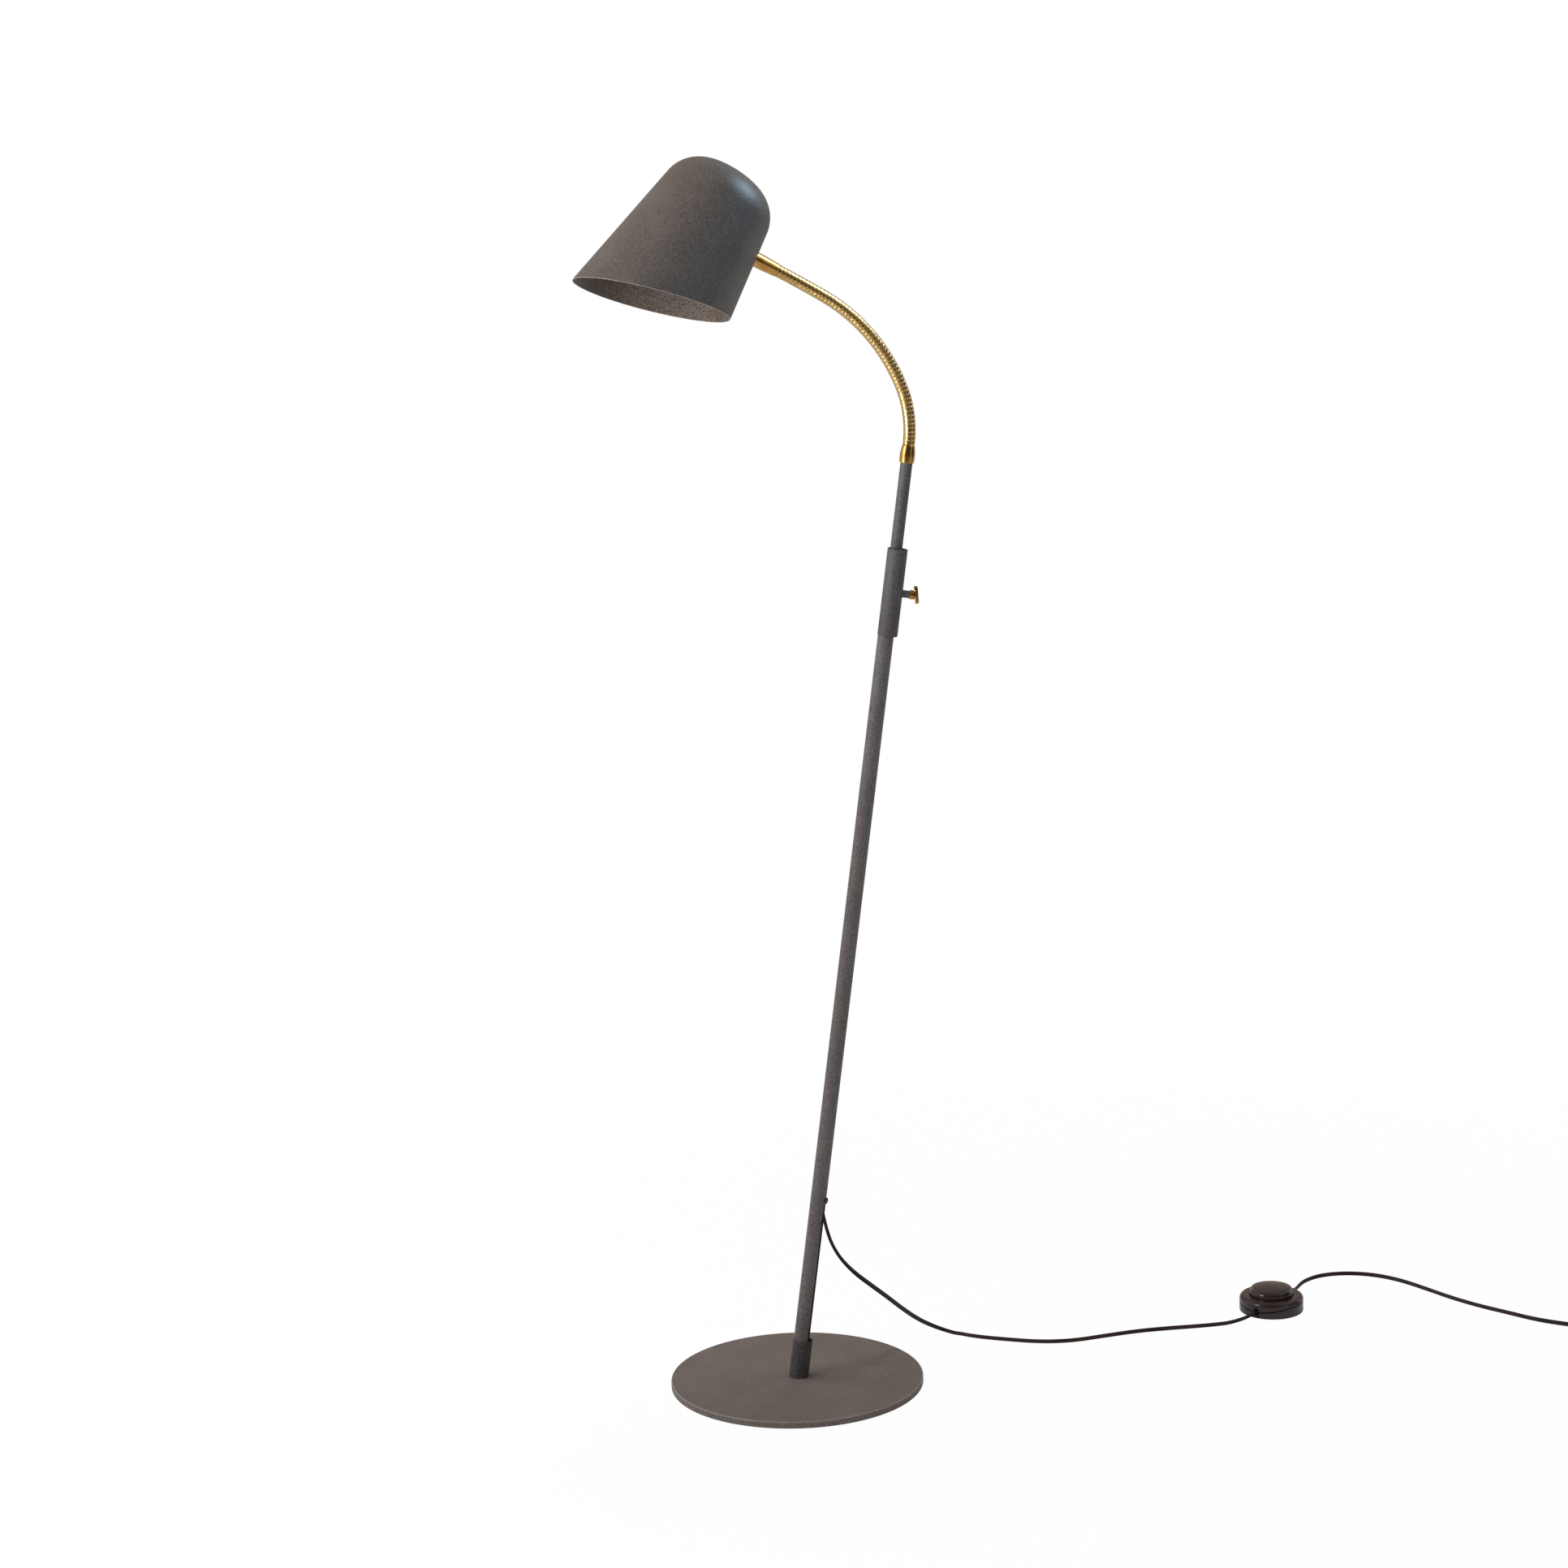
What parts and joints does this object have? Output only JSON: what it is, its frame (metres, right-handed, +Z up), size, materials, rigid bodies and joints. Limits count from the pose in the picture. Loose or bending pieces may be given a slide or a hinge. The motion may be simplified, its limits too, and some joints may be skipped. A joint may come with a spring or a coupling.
{
  "type": "floor lamp",
  "caption": "Gooseneck reading floor lamp with a round foot, leaning telescopic pole, clamp screw, domed shade, flat cord, foot switch and plug.",
  "frame": {"origin": "middle of the foot's underside, on the floor", "axes": "+Z up; the pole leans towards +X and the neck reaches back towards -X, turned a little towards -Y, where the viewer stands"},
  "size_m": [1.1049, 0.4462, 1.2524],
  "materials": {
    "painted_steel": "fine textured powder coat",
    "brass": "satin",
    "black_plastic": "matt",
    "gloss_black": "gloss",
    "cord_vinyl": "semi-gloss",
    "felt": "felt",
    "rubber": "matt",
    "zinc_steel": "zinc plated",
    "bulb_opal": "opal",
    "cap_aluminium": "satin"
  },
  "bodies": {
    "stand": {"base_plate": "painted_steel", "base_felt": "felt", "base_bolt": "zinc_steel", "base_washer": "zinc_steel", "pole_slug": "zinc_steel", "base_socket": "painted_steel", "pole_lower": "painted_steel", "cord_grommet": "black_plastic", "clamp_collar": "painted_steel", "clamp_boss": "painted_steel", "clamp_pad": "black_plastic", "pole_top_bush": "black_plastic", "inner_lead": "cord_vinyl", "switch_base": "gloss_black", "switch_cover": "gloss_black", "switch_feet": "rubber", "switch_screws": "zinc_steel", "switch_block": "black_plastic", "switch_spring": "zinc_steel", "cord_to_switch": "cord_vinyl", "cord_from_switch": "cord_vinyl", "cord_coil": "cord_vinyl", "plug_body": "cord_vinyl", "plug_pins": "brass"},
    "clamp_screw": {"clamp_screw": "brass", "clamp_wing": "brass"},
    "glide": {"glide_bush": "black_plastic"},
    "mast": {"upper_tube": "painted_steel", "tube_clips": "zinc_steel", "ferrule_lower": "brass", "neck_nipple": "brass", "neck_lead": "cord_vinyl"},
    "neck_link_01": {"neck_link_01": "brass"},
    "neck_link_02": {"neck_link_02": "brass"},
    "neck_link_03": {"neck_link_03": "brass"},
    "neck_link_04": {"neck_link_04": "brass"},
    "neck_link_05": {"neck_link_05": "brass"},
    "neck_link_06": {"neck_link_06": "brass"},
    "neck_link_07": {"neck_link_07": "brass"},
    "neck_link_08": {"neck_link_08": "brass"},
    "neck_link_09": {"neck_link_09": "brass"},
    "neck_link_10": {"neck_link_10": "brass"},
    "neck_link_11": {"neck_link_11": "brass"},
    "neck_link_12": {"neck_link_12": "brass"},
    "neck_link_13": {"neck_link_13": "brass"},
    "neck_link_14": {"neck_link_14": "brass"},
    "head": {"ferrule_upper": "brass", "head_nipple": "brass", "head_locknut": "brass", "shade": "painted_steel", "bracket_screw": "painted_steel", "holder_bracket": "zinc_steel", "lampholder_cap": "black_plastic", "lampholder_body": "black_plastic", "lampholder_shell": "brass"},
    "bulb_seat": {"lampholder_contact": "brass"},
    "bulb": {"bulb_cap": "cap_aluminium", "bulb_glass": "bulb_opal"},
    "foot_button": {"switch_button": "gloss_black"}
  },
  "joints": [
    {"name": "clamp_turn", "type": "hinge", "parent": "stand", "child": "clamp_screw", "pos_m": [0.11384, 0, 0.82107], "axis": [0.9903, 0, -0.1387], "range_deg": [-180, 180]},
    {"name": "height_slide", "type": "slide", "parent": "stand", "child": "glide", "axis": [0.1387, 0, 0.9903], "range_m": [-0.084, 0.22]},
    {"name": "mast_turn", "type": "hinge", "parent": "glide", "child": "mast", "pos_m": [0.07071, 0, 0.51307], "axis": [0.1387, 0, 0.9903], "range_deg": [-170, 170]},
    {"name": "neck_bend_01", "type": "hinge", "parent": "mast", "child": "neck_link_01", "pos_m": [0.13425, 0, 0.96685], "axis": [0.2563, -0.9659, -0.0359], "range_deg": [-7, 4.5], "deforming": ["neck_lead"]},
    {"name": "neck_sway_02", "type": "hinge", "parent": "neck_link_01", "child": "neck_link_02", "pos_m": [0.13539, -0.00031, 0.98343], "axis": [0.9666, 0.2561, 0.0108], "range_deg": [-7, 7], "deforming": ["neck_lead"]},
    {"name": "neck_bend_03", "type": "hinge", "parent": "neck_link_02", "child": "neck_link_03", "pos_m": [0.1342, -0.00124, 0.99999], "axis": [0.2563, -0.9659, -0.0359], "range_deg": [-7, 4.5]},
    {"name": "neck_bend_04", "type": "hinge", "parent": "neck_link_03", "child": "neck_link_04", "pos_m": [0.13071, -0.00277, 1.01618], "axis": [0.2563, -0.9659, -0.0359], "range_deg": [-7, 4.5]},
    {"name": "neck_sway_05", "type": "hinge", "parent": "neck_link_04", "child": "neck_link_05", "pos_m": [0.12505, -0.00485, 1.03168], "axis": [0.8847, 0.2195, 0.4112], "range_deg": [-7, 7]},
    {"name": "neck_bend_06", "type": "hinge", "parent": "neck_link_05", "child": "neck_link_06", "pos_m": [0.11793, -0.00729, 1.04652], "axis": [0.2563, -0.9659, -0.0359], "range_deg": [-7, 4.5]},
    {"name": "neck_bend_07", "type": "hinge", "parent": "neck_link_06", "child": "neck_link_07", "pos_m": [0.10956, -0.01004, 1.06063], "axis": [0.2563, -0.9659, -0.0359], "range_deg": [-7, 4.5]},
    {"name": "neck_sway_08", "type": "hinge", "parent": "neck_link_07", "child": "neck_link_08", "pos_m": [0.10002, -0.01306, 1.07392], "axis": [0.7518, 0.1759, 0.6354], "range_deg": [-7, 7]},
    {"name": "neck_bend_09", "type": "hinge", "parent": "neck_link_08", "child": "neck_link_09", "pos_m": [0.08937, -0.01635, 1.08627], "axis": [0.2563, -0.9659, -0.0359], "range_deg": [-7, 4.5]},
    {"name": "neck_bend_10", "type": "hinge", "parent": "neck_link_09", "child": "neck_link_10", "pos_m": [0.0777, -0.01986, 1.0976], "axis": [0.2563, -0.9659, -0.0359], "range_deg": [-7, 4.5]},
    {"name": "neck_sway_11", "type": "hinge", "parent": "neck_link_10", "child": "neck_link_11", "pos_m": [0.06509, -0.02359, 1.1078], "axis": [0.5664, 0.12, 0.8153], "range_deg": [-7, 7]},
    {"name": "neck_bend_12", "type": "hinge", "parent": "neck_link_11", "child": "neck_link_12", "pos_m": [0.05167, -0.02748, 1.11682], "axis": [0.2563, -0.9659, -0.0359], "range_deg": [-7, 4.5]},
    {"name": "neck_bend_13", "type": "hinge", "parent": "neck_link_12", "child": "neck_link_13", "pos_m": [0.03791, -0.03145, 1.1253], "axis": [0.2563, -0.9659, -0.0359], "range_deg": [-7, 4.5]},
    {"name": "neck_sway_14", "type": "hinge", "parent": "neck_link_13", "child": "neck_link_14", "pos_m": [0.02402, -0.03544, 1.13356], "axis": [0.4823, 0.0956, 0.8708], "range_deg": [-7, 7]},
    {"name": "neck_bend_15", "type": "hinge", "parent": "neck_link_14", "child": "head", "pos_m": [0.01002, -0.03946, 1.14162], "axis": [0.2563, -0.9659, -0.0359], "range_deg": [-7, 4.5]},
    {"name": "bulb_slide", "type": "slide", "parent": "head", "child": "bulb_seat", "axis": [-0.5383, -0.2966, -0.7889], "range_m": [0, 0.00564]},
    {"name": "bulb_turn", "type": "hinge", "parent": "bulb_seat", "child": "bulb", "pos_m": [-0.05809, -0.05768, 1.18996], "axis": [-0.5383, -0.2966, -0.7889], "range_deg": [0, 720]},
    {"name": "button_press", "type": "slide", "parent": "stand", "child": "foot_button", "axis": [0, 0, -1], "range_m": [0, 0.004], "stiffness_N_per_m": 900, "springref_m": -0.002, "deforming": ["switch_spring"]}
  ],
  "couplings": [
    {"joint": "neck_bend_03", "follows": "neck_bend_01", "ratio": 1},
    {"joint": "neck_bend_04", "follows": "neck_bend_01", "ratio": 1},
    {"joint": "neck_sway_05", "follows": "neck_sway_02", "ratio": 1},
    {"joint": "neck_bend_06", "follows": "neck_bend_01", "ratio": 1},
    {"joint": "neck_bend_07", "follows": "neck_bend_01", "ratio": 1},
    {"joint": "neck_sway_08", "follows": "neck_sway_02", "ratio": 1},
    {"joint": "neck_bend_09", "follows": "neck_bend_01", "ratio": 1},
    {"joint": "neck_bend_10", "follows": "neck_bend_01", "ratio": 1},
    {"joint": "neck_sway_11", "follows": "neck_sway_02", "ratio": 1},
    {"joint": "neck_bend_12", "follows": "neck_bend_01", "ratio": 1},
    {"joint": "neck_bend_13", "follows": "neck_bend_01", "ratio": 1},
    {"joint": "neck_sway_14", "follows": "neck_sway_02", "ratio": 1},
    {"joint": "neck_bend_15", "follows": "neck_bend_01", "ratio": 1},
    {"joint": "bulb_slide", "follows": "bulb_turn", "m_per_rad": 0.00044882}
  ]
}
